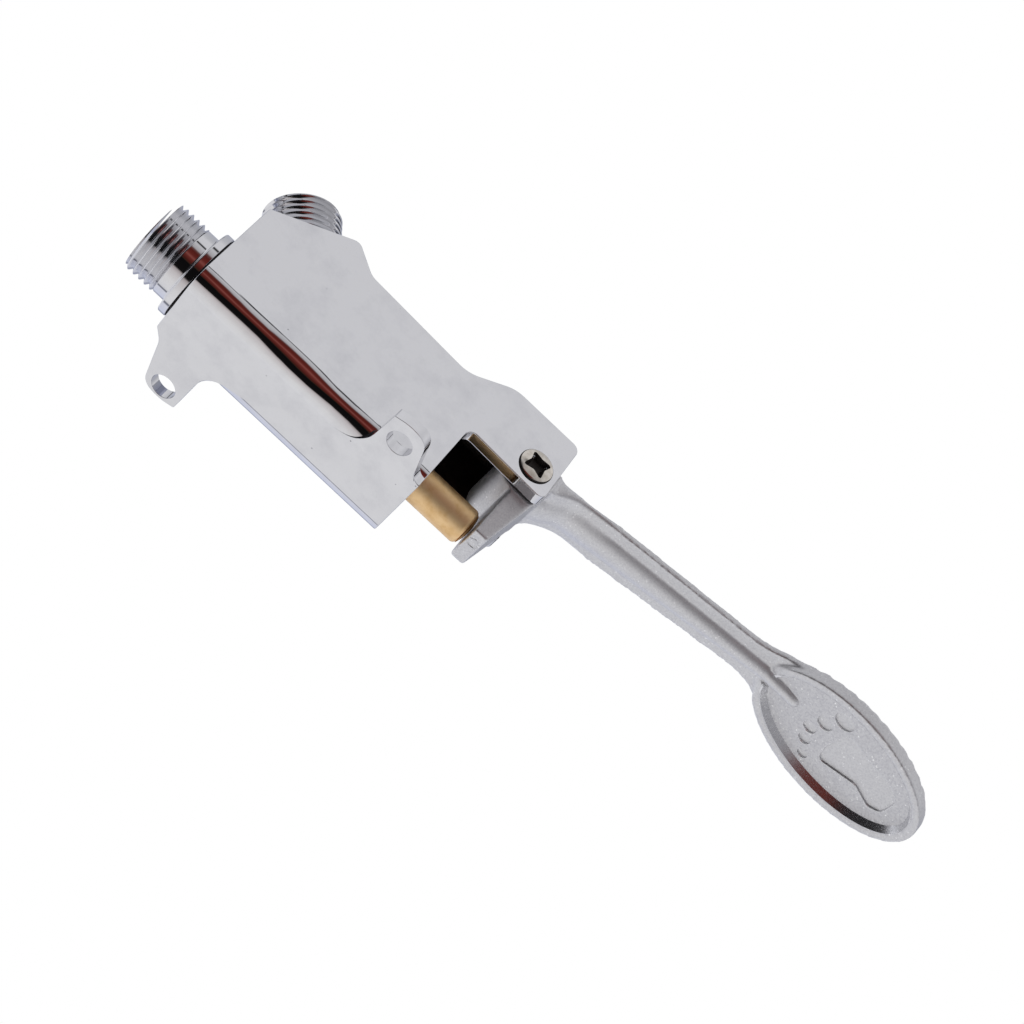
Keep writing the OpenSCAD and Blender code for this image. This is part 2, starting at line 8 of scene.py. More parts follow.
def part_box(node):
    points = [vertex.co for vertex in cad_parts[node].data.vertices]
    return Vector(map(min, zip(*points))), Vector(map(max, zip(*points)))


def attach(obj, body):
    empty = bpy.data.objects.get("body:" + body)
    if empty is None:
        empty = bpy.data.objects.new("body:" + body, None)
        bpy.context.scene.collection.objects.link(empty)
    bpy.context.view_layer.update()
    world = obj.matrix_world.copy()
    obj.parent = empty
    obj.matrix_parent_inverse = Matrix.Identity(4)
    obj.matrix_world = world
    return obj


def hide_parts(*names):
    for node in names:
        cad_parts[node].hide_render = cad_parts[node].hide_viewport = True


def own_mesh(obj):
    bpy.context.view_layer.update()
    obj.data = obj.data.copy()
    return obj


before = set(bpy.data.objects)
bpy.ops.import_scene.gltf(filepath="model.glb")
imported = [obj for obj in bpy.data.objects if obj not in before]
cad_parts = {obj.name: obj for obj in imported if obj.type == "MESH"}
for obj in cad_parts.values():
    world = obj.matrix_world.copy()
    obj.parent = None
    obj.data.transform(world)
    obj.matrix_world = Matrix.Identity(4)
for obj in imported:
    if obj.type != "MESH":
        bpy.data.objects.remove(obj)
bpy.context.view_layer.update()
mm = 0.001
print("frame:", len(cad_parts), "nodes")


# Working habits: one object picked at a time, modifiers applied at once

def pick(ob):
    bpy.ops.object.select_all(action="DESELECT")
    ob.select_set(True)
    bpy.context.view_layer.objects.active = ob
    return ob


def addShape(name, operator, **settings):
    bpy.ops.object.select_all(action="DESELECT")
    operator(**settings)
    ob = bpy.context.object
    ob.name = name
    ob.data.name = name
    return ob


def editAll(ob, *steps):
    pick(ob)
    bpy.ops.object.mode_set(mode="EDIT")
    for step in steps:
        bpy.ops.mesh.select_all(action="SELECT")
        step()
    bpy.ops.object.mode_set(mode="OBJECT")
    return ob


def weld():
    bpy.ops.mesh.remove_doubles(threshold=0.002 * mm)


def outwards():
    bpy.ops.mesh.normals_make_consistent(inside=False)


def useModifier(ob, kind, **settings):
    pick(ob)
    modifier = ob.modifiers.new(kind.lower(), kind)
    for key, value in settings.items():
        setattr(modifier, key, value)
    bpy.ops.object.modifier_apply(modifier=modifier.name)
    return ob


def combine(ob, tool, operation):
    useModifier(ob, "BOOLEAN", operation=operation, object=tool, solver="EXACT")
    bpy.data.objects.remove(tool)
    return ob


def cutAway(ob, *tools):
    for tool in tools:
        combine(ob, tool, "DIFFERENCE")
    return ob


def join(ob, *others):
    pick(ob)
    for other in others:
        other.select_set(True)
    bpy.ops.object.join()
    return ob


def putAt(ob, place, axis):
    # a piece made along +Z at the origin is turned to its axis and set in place
    ob.location = Vector(place) * mm
    ob.rotation_euler = Vector((0, 0, 1)).rotation_difference(Vector(axis)).to_euler()
    pick(ob)
    bpy.ops.object.transform_apply(location=True, rotation=True, scale=True)
    return ob


def smooth(ob, angle=40):
    pick(ob)
    bpy.ops.object.shade_smooth_by_angle(angle=math.radians(angle))
    return ob


def evenNormals(ob, angle=40):
    return useModifier(smooth(ob, angle), "WEIGHTED_NORMAL", keep_sharp=True)


# Outlines: corners are (a, b, radius), and a radius of 0 stays sharp

def roundOutline(corners, steps=8):
    points = []
    for i, (a, b, radius) in enumerate(corners):
        here = Vector((a, b))
        if radius == 0:
            points.append(here)
            continue
        back = (Vector(corners[i - 1][:2]) - here).normalized()
        on = (Vector(corners[(i + 1) % len(corners)][:2]) - here).normalized()
        half = math.acos(max(-1, min(1, back.dot(on)))) / 2
        centre = here + (back + on).normalized() * radius / math.sin(half)
        first = here + back * radius / math.tan(half) - centre
        last = here + on * radius / math.tan(half) - centre
        start = math.atan2(first.y, first.x)
        sweep = math.atan2(last.y, last.x) - start
        sweep -= 2 * math.pi * round(sweep / (2 * math.pi))
        for k in range(steps + 1):
            angle = start + sweep * k / steps
            points.append(centre + radius * Vector((math.cos(angle), math.sin(angle))))
    return points


def ellipsePoints(halfA, halfB, count):
    turns = [2 * math.pi * k / count for k in range(count)]
    return [(halfA * math.cos(t), halfB * math.sin(t)) for t in turns]


outlinePlanes = {"xz": ((1, 0, 0), (0, 0, 1), (0, 1, 0)),
                 "yz": ((0, 1, 0), (0, 0, 1), (1, 0, 0)),
                 "xy": ((1, 0, 0), (0, 1, 0), (0, 0, 1))}


def outlineRing(name, points, plane, start, fill):
    alongA, alongB, depthWay = (Vector(v) for v in outlinePlanes[plane])
    ob = addShape(name, bpy.ops.mesh.primitive_circle_add, vertices=len(points), fill_type=fill)
    for vertex, (a, b) in zip(ob.data.vertices, points):
        vertex.co = (alongA * a + alongB * b + depthWay * start) * mm
    return ob


def outlineSolid(name, points, plane, start, depth):
    ob = outlineRing(name, points, plane, start, "NGON")
    way = Vector(outlinePlanes[plane][2]) * depth * mm
    extrude = lambda: bpy.ops.mesh.extrude_region_move(TRANSFORM_OT_translate={"value": way})
    return editAll(ob, extrude, outwards)


def latheSolid(name, profile, place=(0, 0, 0), axis=(0, 0, 1), steps=96):
    # profile is a closed outline of (radius, height), turned round +Z and then set in place
    ob = outlineRing(name, profile, "xz", 0, "NOTHING")
    spin = lambda: bpy.ops.mesh.spin(steps=steps, angle=2 * math.pi, center=(0, 0, 0), axis=(0, 0, 1))
    editAll(ob, spin, weld, lambda: bpy.ops.mesh.dissolve_degenerate(threshold=0.001 * mm), outwards)
    return putAt(ob, place, axis)


def rodSolid(name, radius, length, place, axis, steps=64):
    return latheSolid(name, [(0, 0), (radius, 0), (radius, length), (0, length)], place, axis, steps)


def gridSheet(name, rows, columns, placeAt):
    # a grid whose points go where placeAt(u, v) says, both from 0 to 1
    ob = addShape(name, bpy.ops.mesh.primitive_grid_add, x_subdivisions=rows, y_subdivisions=columns, size=1)
    for vertex in ob.data.vertices:
        vertex.co = Vector(placeAt(vertex.co.x + 0.5, vertex.co.y + 0.5)) * mm
    return editAll(ob, weld, outwards)


def closedSheet(name, rows, columns, placeAt):
    ob = gridSheet(name, rows, columns, placeAt)
    return editAll(ob, lambda: bpy.ops.mesh.fill_holes(sides=0), outwards)


# Materials: sRGB hex colours, scales from real millimetres

def linear(hexColour):
    values = [int(hexColour[i:i + 2], 16) / 255 for i in (1, 3, 5)]
    return [v / 12.92 if v <= 0.04045 else ((v + 0.055) / 1.055) ** 2.4 for v in values] + [1]


def perMm(size):
    # how many repeats of a pattern fit in a metre, for a texture's scale
    return 1 / (size * mm)


def addNode(tree, kind, settings=None, links=None):
    node = tree.nodes.new(kind)
    for key, value in (settings or {}).items():
        if isinstance(key, str) and hasattr(node, key):
            setattr(node, key, value)
        else:
            node.inputs[key].default_value = value
    for key, source in (links or {}).items():
        tree.links.new(source, node.inputs[key])
    return node


def emptyTree(owner):
    owner.use_nodes = True
    owner.node_tree.nodes.clear()
    return owner.node_tree


def newMaterial(name):
    material = bpy.data.materials.new(name)
    tree = emptyTree(material)
    return material, tree, addNode(tree, "ShaderNodeTexCoord").outputs["Object"]


def finishMaterial(material, settings, colour, haze=None, bump=None):
    tree = material.node_tree
    links = {"Base Color": colour}
    if haze:
        links["Roughness"] = haze.outputs["Result"]
    if bump:
        links["Normal"] = bump.outputs["Normal"]
    shader = addNode(tree, "ShaderNodeBsdfPrincipled", settings, links)
    addNode(tree, "ShaderNodeOutputMaterial", links={"Surface": shader.outputs["BSDF"]})
    return material


def rampNode(tree, source, stops):
    node = addNode(tree, "ShaderNodeValToRGB", links={"Fac": source})
    ramp = node.color_ramp
    while len(ramp.elements) < len(stops):
        ramp.elements.new(0.5)
    for element, (at, colour) in zip(ramp.elements, stops):
        element.position = at
        element.color = linear(colour) if isinstance(colour, str) else [colour] * 3 + [1]
    return node


chromeLook = {"colour": "#d9d9dc", "smudge": "#cfcfd3", "speck": "#9b9ba0", "smudgeSize": 9, "speckSize": 4.0,
              "rippleSize": 14, "rippleHeight": 0.22}


def polishedChrome():
    # bright nickel-chrome plate on a polished casting: a clear mirror, faint wipe marks, a few specks
    look = chromeLook
    material, tree, coords = newMaterial("polished_chrome_plate")
    smudge = addNode(tree, "ShaderNodeTexNoise",
                     {"Scale": perMm(look["smudgeSize"]), "Detail": 5.0, "Roughness": 0.62},
                     {"Vector": coords})
    tint = rampNode(tree, smudge.outputs["Fac"], [(0.46, look["colour"]), (0.72, look["smudge"])])
    cells = addNode(tree, "ShaderNodeTexVoronoi", {"Scale": perMm(look["speckSize"])}, {"Vector": coords})
    speck = rampNode(tree, cells.outputs["Distance"], [(0.035, 1.0), (0.075, 0.0)])
    rare = addNode(tree, "ShaderNodeMath", {"operation": "GREATER_THAN", 1: 0.66},
                   {0: cells.outputs["Color"]})
    amount = addNode(tree, "ShaderNodeMath", {"operation": "MULTIPLY"},
                     {0: speck.outputs["Color"], 1: rare.outputs["Value"]})
    colour = addNode(tree, "ShaderNodeMix", {"data_type": "RGBA", 7: linear(look["speck"])},
                     {"Factor": amount.outputs["Value"], 6: tint.outputs["Color"]})
    haze = addNode(tree, "ShaderNodeMapRange", {"To Min": 0.035, "To Max": 0.085},
                   {"Value": smudge.outputs["Fac"]})
    along = addNode(tree, "ShaderNodeMapping", {"Scale": (0.35, 1, 1)}, {"Vector": coords})
    ripple = addNode(tree, "ShaderNodeTexNoise",
                     {"Scale": perMm(look["rippleSize"]), "Detail": 2.0, "Roughness": 0.35},
                     {"Vector": along.outputs["Vector"]})
    bump = addNode(tree, "ShaderNodeBump", {"Strength": 1.0, "Distance": look["rippleHeight"] * mm},
                   {"Height": ripple.outputs["Fac"]})
    return finishMaterial(material, {"Metallic": 1}, colour.outputs[2], haze, bump)


satinLook = {"colours": ["#d0d0d3", "#d8d8da", "#dcdcde", "#f4f4f5"], "grit": 0.42, "gritHeight": 0.035,
             "sparkle": 0.38, "roughness": (0.46, 0.56)}
blastedLook = {"colours": ["#cacace", "#d5d5d8", "#dadadc", "#ffffff"], "grit": 0.45, "gritHeight": 0.045,
               "sparkle": 0.42, "roughness": (0.48, 0.6)}
wallLook = {"colours": ["#cfcfd2", "#d8d8da", "#dedee0", "#f4f4f5"], "grit": 0.4, "gritHeight": 0.02,
            "sparkle": 0.38, "roughness": (0.2, 0.3)}


def grainedPlate(name, look):
    # zinc die casting, bead-blasted and plated: soft grey sheen broken by fine bright grains
    material, tree, coords = newMaterial(name)
    # grains are really nearer 0.1 mm, and are drawn coarser so that they show
    grains = addNode(tree, "ShaderNodeTexVoronoi", {"Scale": perMm(look["sparkle"])}, {"Vector": coords})
    tint = rampNode(tree, grains.outputs["Color"], list(zip((0.2, 0.5, 0.86, 0.97), look["colours"])))
    grit = addNode(tree, "ShaderNodeTexNoise",
                   {"Scale": perMm(look["grit"]), "Detail": 2.0, "Roughness": 0.7}, {"Vector": coords})
    bright, dull = look["roughness"]
    sheen = addNode(tree, "ShaderNodeMapRange",
                    {"From Min": 0.3, "From Max": 0.7, "To Min": bright, "To Max": dull},
                    {"Value": grit.outputs["Fac"]})
    bump = addNode(tree, "ShaderNodeBump", {"Strength": 0.8, "Distance": look["gritHeight"] * mm},
                   {"Height": grit.outputs["Fac"]})
    return finishMaterial(material, {"Metallic": 1}, tint.outputs["Color"], sheen, bump)


brassLook = {"colour": "#f4d3a2", "stain": "#dcb478", "stainSize": 3.5, "turning": 2.1991,
             "turningHeight": 0.004}


def turnedBrass():
    # bare brass bar, turned and lightly tarnished: warm, with fine rings round its axis
    look = brassLook
    material, tree, coords = newMaterial("bare_turned_brass")
    stain = addNode(tree, "ShaderNodeTexNoise",
                    {"Scale": perMm(look["stainSize"]), "Detail": 6.0, "Roughness": 0.65}, {"Vector": coords})
    tint = rampNode(tree, stain.outputs["Fac"], [(0.42, look["colour"]), (0.78, look["stain"])])
    # tool marks are really nearer 0.1 mm apart, and are drawn coarser so that they show;
    # a Wave texture turns through 20 radians in each unit of its scale
    rings = addNode(tree, "ShaderNodeTexWave",
                    {"Scale": perMm(look["turning"]) * 2 * math.pi / 20, "Distortion": 0.6, "Detail": 2.0,
                     "bands_direction": "X"}, {"Vector": coords})
    bump = addNode(tree, "ShaderNodeBump", {"Strength": 0.35, "Distance": look["turningHeight"] * mm},
                   {"Height": rings.outputs["Fac"]})
    haze = addNode(tree, "ShaderNodeMapRange", {"To Min": 0.42, "To Max": 0.56},
                   {"Value": stain.outputs["Fac"]})
    return finishMaterial(material, {"Metallic": 1}, tint.outputs["Color"], haze, bump)


def nickelSteel():
    # nickel-plated screw: a warmer mirror than chrome, with hair scratches from the driver
    material, tree, coords = newMaterial("nickel_plated_steel")
    scratch = addNode(tree, "ShaderNodeTexNoise", {"Scale": perMm(1.2), "Detail": 6.0}, {"Vector": coords})
    tint = rampNode(tree, scratch.outputs["Fac"], [(0.4, "#d6d0c8"), (0.75, "#bdb5aa")])
    haze = addNode(tree, "ShaderNodeMapRange", {"To Min": 0.05, "To Max": 0.16},
                   {"Value": scratch.outputs["Fac"]})
    return finishMaterial(material, {"Metallic": 1}, tint.outputs["Color"], haze)


def springSteel():
    # drawn spring wire and stamped rings: grey steel with a thin oil film
    material, tree, coords = newMaterial("drawn_spring_steel")
    film = addNode(tree, "ShaderNodeTexNoise", {"Scale": perMm(0.8), "Detail": 4.0}, {"Vector": coords})
    tint = rampNode(tree, film.outputs["Fac"], [(0.35, "#8e8f93"), (0.7, "#a9aaae")])
    haze = addNode(tree, "ShaderNodeMapRange", {"To Min": 0.22, "To Max": 0.4},
                   {"Value": film.outputs["Fac"]})
    return finishMaterial(material, {"Metallic": 1}, tint.outputs["Color"], haze)


def nitrileRubber():
    # moulded black seal rubber: dull, with a faint bloom
    material, tree, coords = newMaterial("moulded_nitrile_rubber")
    bloom = addNode(tree, "ShaderNodeTexNoise", {"Scale": perMm(1.5), "Detail": 5.0}, {"Vector": coords})
    tint = rampNode(tree, bloom.outputs["Fac"], [(0.4, "#1c1c1f"), (0.8, "#303034")])
    return finishMaterial(material, {"Roughness": 0.55}, tint.outputs["Color"])


def paintedShadeHollows():
    # painted shade for hollows: a dark brown, dull material that stands in for the shade in the pocket, the
    # nipple's seam and the screw's cross recess
    material, tree, coords = newMaterial("painted_shade_in_hollows")
    sand = addNode(tree, "ShaderNodeTexNoise", {"Scale": perMm(0.9), "Detail": 6.0}, {"Vector": coords})
    tint = rampNode(tree, sand.outputs["Fac"], [(0.35, "#17110f"), (0.75, "#2b211c")])
    bump = addNode(tree, "ShaderNodeBump", {"Strength": 0.6, "Distance": 0.08 * mm},
                   {"Height": sand.outputs["Fac"]})
    return finishMaterial(material, {"Metallic": 0.4, "Roughness": 0.55}, tint.outputs["Color"], bump=bump)


chrome = polishedChrome()
hollowShade = paintedShadeHollows()
satin = grainedPlate("satin_plated_die_casting", satinLook)
blasted = grainedPlate("blasted_plated_die_casting", blastedLook)
wallPlate = grainedPlate("brushed_plated_die_casting", wallLook)
brass = turnedBrass()
nickel = nickelSteel()
steel = springSteel()
rubber = nitrileRubber()
print("materials made")


def dress(ob, material, body):
    ob.data.materials.clear()
    ob.data.materials.append(material)
    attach(ob, body)
    return ob


def refinish(ob, material, chosen):
    # the chosen faces of a dressed piece get a second material, a finish or painted shade
    ob.data.materials.append(material)
    for face in ob.data.polygons:
        if chosen(face):
            face.material_index = 1


# Valve body: side outline crossed with its section, pocket, ears and bores

# an ear is its hole's x and y and the tip's reach past it
body = {"rear": -36.7, "front": 36.7, "hoodFront": 62.1, "width": 27.4, "bottomRound": 5.8, "farRound": 7.2,
        "crease": 5, "waver": 0.42, "waverRun": 19, "seatLow": 33.7, "seatSlope": 32, "seatLength": 25.4,
        "outletAt": 15, "waist": 40.2, "hoodTop": 47.2, "cheekLow": 25.8, "cheek": 4, "roof": 43.6,
        "axis": 12.8, "cheekCorner": 2.2, "notch": 2.6, "cheekInner": 0.7, "cheekOuter": 0.25,
        "cheekFade": 3.0, "edge": 0.3, "ears": ((-26.1, 24.6, 4.6), (26.1, -19.6, 7.2)), "earThick": 3.4,
        "earWidth": 11.4, "earHole": 3.55, "footSetBack": 0.4}
pivot = (55.5, 0, 31.8)
slope = math.radians(body["seatSlope"])
outletAxis = Vector((-math.sin(slope), 0, math.cos(slope)))
seatWay = Vector((math.cos(slope), 0, math.sin(slope)))
seatStart = Vector((body["rear"], 0, body["seatLow"]))
outletFoot = seatStart + seatWay * body["outletAt"]
waterAxis = Vector((0, 0, body["axis"]))


def sideOutline():
    top = seatStart + seatWay * body["seatLength"]
    return roundOutline([
        (body["rear"], 0, 0), (body["rear"], body["seatLow"], 0), (top.x, top.z, 2.4),
        (top.x + 8.2, body["waist"] + 1, 5), (body["front"] - 9.5, body["waist"] - 0.6, 10),
        (body["front"] + 2.4, body["hoodTop"], 9), (body["hoodFront"] - 0.6, body["hoodTop"], 2.4),
        (body["hoodFront"], body["cheekLow"] - 1, body["cheekCorner"]),
        (body["front"], body["cheekLow"], body["notch"]),
        (body["front"], 0, 0)])


def earSolid(x, y, tip):
    half = body["earWidth"] / 2
    root = -abs(y) + body["width"] / 2 - body["bottomRound"] - 1
    foot = body["width"] / 2 - body["footSetBack"] - abs(y)
    end = abs(x) - body["front"]
    # the foot runs 1 mm past the block's end, which is cut later
    rearFlank = [(end - 1, root, 0), (end - 1, root + 2.6, 0), (end, root + 2.6, 0),
                 (-half - 2.3, root + 6, 6)]
    frontFlank = [(end - 1, root, 0), (end - 1, foot, 0), (-half - 2.5, foot, 3)]
    points = roundOutline((rearFlank if y > 0 else frontFlank) + [
        (-half + 0.9, tip - 0.8, 4), (0.9, tip, 12), (half - 0.4, tip - 1.2, 0.6), (half + 0.6, root + 3, 8),
        (half + 13, root, 0)])
    side = 1 if y > 0 else -1
    return outlineSolid("ear", [(x + side * a, y + side * b) for a, b in points], "xy", 0, body["earThick"])


def cheekCutter(face, inward, radius):
    # waste outside a rounded edge, swept along the cheek's lower line and fading out at both ends
    outline = roundOutline([(body["hoodFront"], body["roof"], 0),
                            (body["hoodFront"], body["cheekLow"] - 1, body["cheekCorner"]),
                            (body["front"], body["cheekLow"], body["notch"]), (body["front"], 0, 0)])[1:-1]
    half = len(outline) // 2
    straight = [outline[half - 1].lerp(outline[half], k / 12) for k in range(1, 12)]
    path = outline[:half] + straight + outline[half:]
    run = [0]
    for a, b in zip(path, path[1:]):
        run.append(run[-1] + (b - a).length)
    past, arc = 0.5, 10

    def waste(u, v):
        i = round(u * (len(path) - 1))
        way = (path[min(i + 1, len(path) - 1)] - path[max(i - 1, 0)]).normalized()
        r = max(0.04, radius * min(1, run[i] / body["cheekFade"], (run[-1] - run[i]) / body["cheekFade"]))
        turns = [math.pi / 2 * k / arc for k in range(arc + 1)]
        rounding = [(r - r * math.cos(t), r - r * math.sin(t)) for t in turns]
        loop = [(-past, -past), (-past, r)] + rounding + [(r, -past)]
        a, b = loop[round(v * len(loop)) % len(loop)]
        return path[i].x + way.y * b, face + inward * a, path[i].y - way.x * b

    return closedSheet("cheekEdge", len(path) - 1, arc + 4, waste)


def bevelEdges(ob, width, segments, weightAt):
    # each sharp outer edge gets its share of the bevel's full width
    mesh = ob.data
    faces = {}
    for face in mesh.polygons:
        for key in face.edge_keys:
            faces.setdefault(key, []).append(face)
    layer = mesh.attributes.new("bevel_weight_edge", "FLOAT", "EDGE")
    for edge in mesh.edges:
        pair = faces.get(tuple(sorted(edge.vertices)), [])
        if len(pair) != 2 or pair[0].normal.angle(pair[1].normal, 0) < math.radians(28):
            continue
        ends = [mesh.vertices[i].co for i in edge.vertices]
        loop = list(pair[0].vertices)
        along = ends[1] - ends[0]
        if loop[(loop.index(edge.vertices[0]) + 1) % len(loop)] != edge.vertices[1]:
            along = -along
        if pair[0].normal.cross(pair[1].normal).dot(along) > 0:
            layer.data[edge.index].value = weightAt((ends[0] + ends[1]) / 2 / mm)
    useModifier(ob, "BEVEL", width=width * mm, segments=segments, limit_method="WEIGHT",
                use_clamp_overlap=False)


def bodyEdge(p):
    # bores keep their edges, the cheeks are rounded by cuts, and the spigot covers the mouth in the seat
    fromWater = math.hypot(p.y, p.z - body["axis"])
    fromOutlet = (p - outletFoot).cross(outletAxis).length
    inBore = fromWater < 11.5 and p.x < body["front"] - 0.1
    byCheek = p.x > body["front"] - 0.2 and abs(p.z - body["cheekLow"]) < 4.5
    if inBore or byCheek or fromOutlet < 9:
        return 0
    # an ear's edge starts from nothing where it leaves the rounded bottom
    r = body["bottomRound"]
    past = max(0, abs(p.y) - body["width"] / 2 + r)
    under = p.z < 0.6 and past < r and abs(p.x) < body["front"] - 0.5
    if abs(p.y) > body["width"] / 2 + 0.5:
        return 0.5
    return min(1, (r - math.sqrt(r ** 2 - past ** 2)) / (3 * body["edge"])) if under else 1


def sectionSolid(points):
    # the block's section drawn out along X, its near bottom rounding wavering as hand polishing leaves it
    r, start, run = body["bottomRound"], body["rear"] - 5, 110
    centre = Vector((r - body["width"] / 2, r))

    def place(u, v):
        i = round(v * len(points)) % len(points)
        a, b = points[i]
        x = start + run * u
        out = Vector((a, b)) - centre
        if a <= centre.x and b <= r:
            turn = math.atan2(-out.x, -out.y)
            wave = noise.noise(Vector((x / body["waverRun"], 0.9 * turn, 4.2)))
            a, b = Vector((a, b)) + out.normalized() * body["waver"] * wave * math.sin(2 * turn)
        return x, a, b

    return closedSheet("section", 55, len(points), place)


def makeBody():
    w = body["width"]
    ob = outlineSolid("valveBody", sideOutline(), "xz", -2 * w, 4 * w)
    # the far rounding meets the bottom at a faint crease
    r, first = body["farRound"], math.radians(body["crease"])
    turns = [first + (math.pi / 2 - first) * k / 14 for k in range(15)]
    far = [(w / 2 - r * (1 - math.sin(t)), r * (math.cos(first) - math.cos(t)), 0) for t in turns]
    section = roundOutline([(-w / 2, 80, 0), (-w / 2, 0, body["bottomRound"])] + far + [(w / 2, 80, 0)],
                           steps=24)
    block = sectionSolid(section)
    for ear in body["ears"]:
        combine(block, earSolid(*ear), "UNION")
    combine(ob, block, "INTERSECT")
    slot = w - 2 * body["cheek"]
    pocket = roundOutline([(-slot / 2, -10, 0), (slot / 2, -10, 0), (slot / 2, body["roof"], 2),
                           (-slot / 2, body["roof"], 2)])
    cutAway(ob, outlineSolid("pocket", pocket, "yz", body["front"], 40))
    for side in (-1, 1):
        cutAway(ob, cheekCutter(side * w / 2, -side, body["cheekOuter"]),
                cheekCutter(side * slot / 2, side, body["cheekInner"]))
    for x, y, _ in body["ears"]:
        cutAway(ob, rodSolid("earHole", body["earHole"], 8, (x, y, -2), (0, 0, 1), 48))
    # radius and depth from the rear: nipple's socket, valve seat, chamber, bush and ring groove
    bores = [(0, -2), (10.84, -2), (10.84, 1.84), (9, 1.84), (9, 8), (8, 8), (8, 17), (4.3, 17), (4.3, 20),
             (7.5, 20), (7.5, 48), (8.5, 48), (8.5, 70), (9.4, 70), (9.4, 71.1), (8.5, 71.1), (8.5, 76),
             (0, 76)]
    cutAway(ob, latheSolid("bores", bores, waterAxis + Vector((body["rear"], 0, 0)), (1, 0, 0)))
    passage = [(0, -28), (5.5, -28), (5.5, 0.6), (7, 0.6), (7, 20), (0, 20)]
    cutAway(ob, latheSolid("passage", passage, outletFoot, outletAxis))
    cutAway(ob, rodSolid("pivotHole", 3.02, 40, (pivot[0], 20, pivot[2]), (0, -1, 0)))
    editAll(ob, weld, lambda: bpy.ops.mesh.dissolve_limited(angle_limit=math.radians(0.5)))
    bevelEdges(ob, body["edge"], 3, bodyEdge)
    evenNormals(ob)
    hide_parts("valve_body")
    dress(ob, chrome, "valve")
    low, high = body["cheekLow"] + body["cheekInner"], body["roof"] + 0.2

    def inPocket(face):
        c = face.center / mm
        return c.x > body["front"] + 0.1 and abs(c.y) < slot / 2 + 0.2 and low < c.z < high

    # the pocket's walls get painted shade, dark brown and dull
    refinish(ob, hollowShade, inPocket)


makeBody()
print("body made")


# Pipe threads: a helical sheet, cut off at both ends and trimmed by a chamfered tube

thread = {"radius": 10.4775, "pitch": 1.814, "depth": 1.05, "crest": 1.15, "steps": 90, "rows": 12,
          "chamfer": 1.1, "spare": 0.3}


def threadTube(name, length, bore, place, axis):
    turns = math.ceil(length / thread["pitch"]) + 4

    def helix(u, v):
        angle = 2 * math.pi * turns * u
        wave = max(-1, min(1, thread["crest"] * (abs(4 * v - 2) - 1)))
        radius = thread["radius"] - thread["depth"] / 2 * (1 - wave)
        return radius * math.cos(angle), radius * math.sin(angle), thread["pitch"] * (turns * u + v - 2)

    def closeAt(height, out):
        bpy.ops.mesh.bisect(plane_co=(0, 0, height * mm), plane_no=(0, 0, out), use_fill=True,
                            clear_outer=True)

    ob = gridSheet(name, turns * thread["steps"], thread["rows"], helix)
    editAll(ob, lambda: closeAt(-thread["spare"], -1), lambda: closeAt(length + thread["spare"], 1), outwards)
    r, c = thread["radius"] + 0.2, thread["chamfer"] + 0.2
    tube = [(bore, 0), (r, 0), (r, length - c), (r - c, length), (bore + 0.4, length), (bore, length - 0.4)]
    combine(ob, latheSolid("tube", tube), "INTERSECT")
    return putAt(evenNormals(ob, 35), place, axis)


def makeOutlet():
    # plain runout under the thread, sunk a little into the seat
    ob = threadTube("outletSpigot", 12.5, 7, outletFoot + outletAxis, outletAxis)
    foot = latheSolid("foot", [(7, -0.8), (9.4, -0.8), (9.4, 1.3), (7, 1.3)], outletFoot, outletAxis)
    return dress(join(ob, smooth(foot)), chrome, "valve")


nipple = {"threadLength": 9.6, "neck": 4, "collar": 2.9, "neckRadius": 10.08, "collarRadius": 12.7,
          "bore": 5.5, "inner": 7.2, "innerDeep": 6, "socket": 8.98, "socketLength": 8, "seam": 0.55,
          "seamDeep": 1.0}


def makeNipple():
    n = nipple
    start = waterAxis + Vector((body["rear"] - n["collar"] - n["neck"], 0, 0))
    ob = threadTube("inletNipple", n["threadLength"], n["bore"], start, (-1, 0, 0))
    back, r = n["neck"] + n["collar"], n["collarRadius"]
    seam, end = back - n["seam"], back + n["socketLength"]
    turned = roundOutline([
        (n["bore"], 0, 0), (n["neckRadius"], 0, 0.4), (n["neckRadius"], n["neck"], 0.7), (r, n["neck"], 0.5),
        (r, seam, 0.2), (r - n["seamDeep"], seam, 0), (r - n["seamDeep"], back, 0), (n["socket"], back, 0),
        (n["socket"], end, 0.3), (n["inner"], end, 0.3), (n["inner"], back - n["innerDeep"], 0),
        (n["bore"], back - n["innerDeep"], 0)], steps=5)
    join(ob, evenNormals(latheSolid("sleeve", turned, start, (1, 0, 0), 128)))
    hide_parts("inlet_nipple")
    dress(ob, chrome, "valve")

    def inSeam(face):
        c = face.center / mm
        within = math.hypot(c.y, c.z - body["axis"]) < r - 0.2
        return within and body["rear"] - n["seam"] - 0.02 < c.x < body["rear"] + 0.01

    # the seam groove gets painted shade, dark brown
    refinish(ob, hollowShade, inSeam)


makeOutlet()
makeNipple()
print("threads made")


# Plunger, screw and spring

plunger = {"stemBack": -29.2, "seat": -19.7, "back": 5.91, "tip": 54.3, "radius": 5.1, "stem": 2.5,
           "flange": 3.6, "flangeThick": 1.5, "dome": 12, "rimRound": 1.3}


def makePlunger():
    p = plunger
    rim = p["tip"] - p["dome"] + math.sqrt(p["dome"] ** 2 - p["radius"] ** 2)
    spread = math.asin(p["radius"] / p["dome"])
    dome = [(p["dome"] * math.sin(spread * k / 8), p["tip"] - p["dome"] * (1 - math.cos(spread * k / 8)), 0)
            for k in range(7, -1, -1)]
    front = p["seat"] + p["flangeThick"]
    profile = [(0, p["stemBack"], 0), (p["stem"], p["stemBack"], 0.4), (p["stem"], p["seat"], 0),
               (p["flange"], p["seat"], 0.2), (p["flange"], front, 0.2), (p["stem"], front, 0),
               (p["stem"], p["back"], 0), (p["radius"], p["back"], 0.4),
               (p["radius"], rim + 0.3, p["rimRound"])] + dome
    ob = smooth(latheSolid("plungerRod", roundOutline(profile, 5), waterAxis, (1, 0, 0)))
    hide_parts("plunger")
    dress(ob, brass, "plunger")


